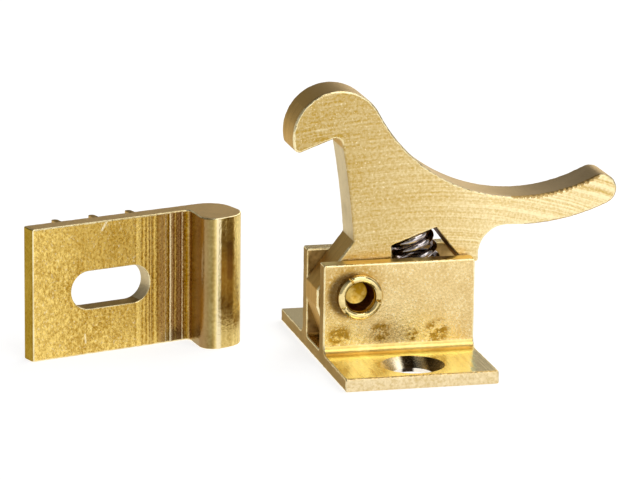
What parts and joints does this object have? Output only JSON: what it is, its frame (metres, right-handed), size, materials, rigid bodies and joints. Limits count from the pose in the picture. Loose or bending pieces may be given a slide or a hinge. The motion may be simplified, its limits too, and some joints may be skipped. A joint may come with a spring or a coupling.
{
  "type": "finger pull latch",
  "caption": "Solid brass elbow catch: a sprung hook lever with a finger tail, riveted in a screw-down channel base, and a slotted strike plate with a hooked lip.",
  "frame": {"origin": "middle of the base's underside, on the mounting surface, halfway between the screw holes", "axes": "+X along the base towards the finger tail, +Z out of the mounting surface, Y along the pivot and through both screw holes"},
  "size_m": [0.0763, 0.035, 0.0355],
  "materials": {
    "brass": "satin, with sawn slices and softly broken edges",
    "spring_steel": "bright drawn wire"
  },
  "bodies": {
    "base": {"base": "brass", "pivot_rivet": "brass", "spring": "spring_steel", "strike_plate": "brass"},
    "lever": {"lever": "brass"}
  },
  "joints": [
    {"name": "lever_pivot", "type": "hinge", "parent": "base", "child": "lever", "pos_m": [-0.0053, 0, 0.0091], "axis": [0, 1, 0], "range_deg": [0, 24], "stiffness_Nm_per_rad": 0.36, "springref_deg": -13.18, "deforming": ["spring"]}
  ]
}
